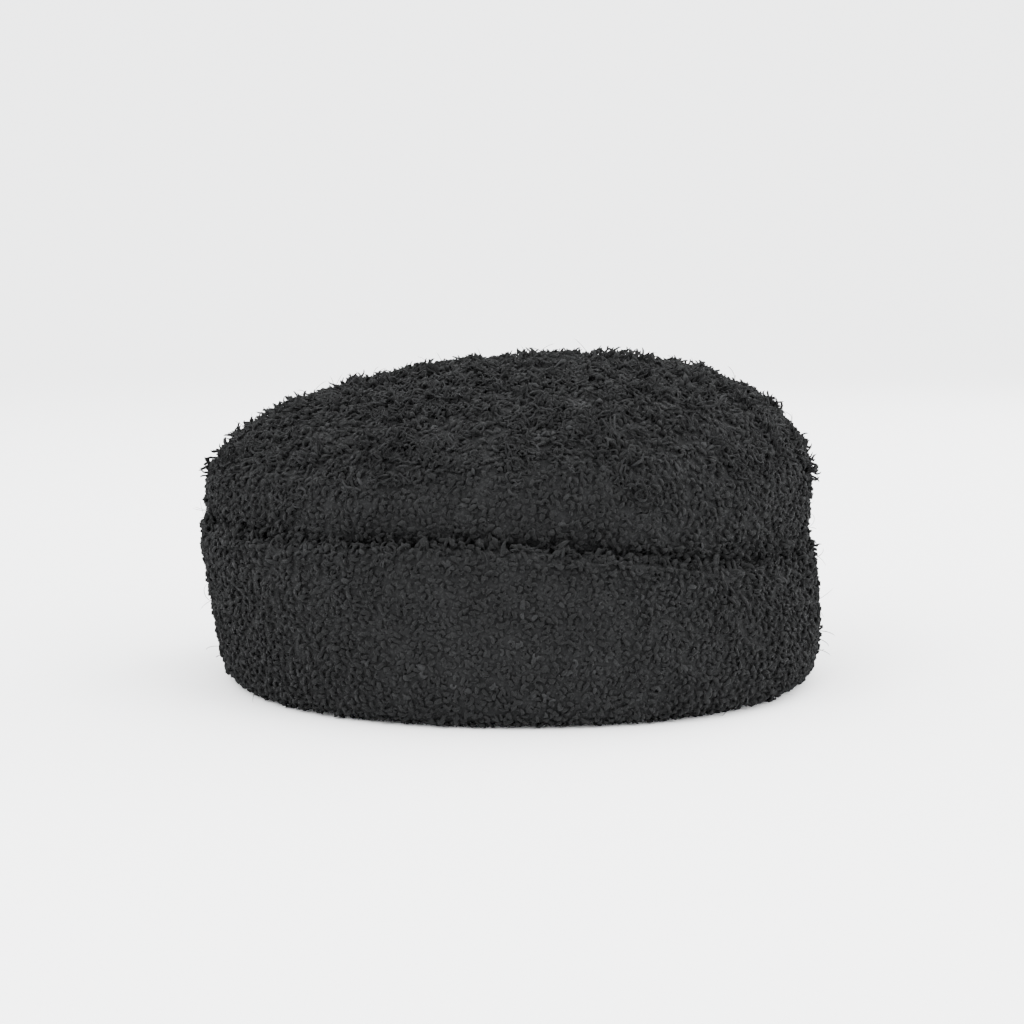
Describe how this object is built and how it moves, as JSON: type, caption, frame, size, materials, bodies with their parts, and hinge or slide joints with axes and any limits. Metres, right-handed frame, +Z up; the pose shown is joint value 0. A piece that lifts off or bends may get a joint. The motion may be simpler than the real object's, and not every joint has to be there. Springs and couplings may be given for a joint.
{
  "type": "watch cap",
  "caption": "Puffy knitted winter cap in dark looped pile, with a thick turned-up cuff, a round soft crown and a thin smooth lining.",
  "frame": {"origin": "middle of the foot that the cap rests on: the fold of its cuff, at z 0, under the middle of its box", "axes": "+Z up through the crown, -Y to the front of the cap, +X to the wearer's left"},
  "size_m": [0.2288, 0.2558, 0.117],
  "materials": {
    "pile_black": "deep curled pile, matt",
    "lining_black": "smooth fine knit, matt"
  },
  "bodies": {
    "root": {"crown": "pile_black", "cuff": "pile_black", "lining": "lining_black"}
  },
  "joints": []
}
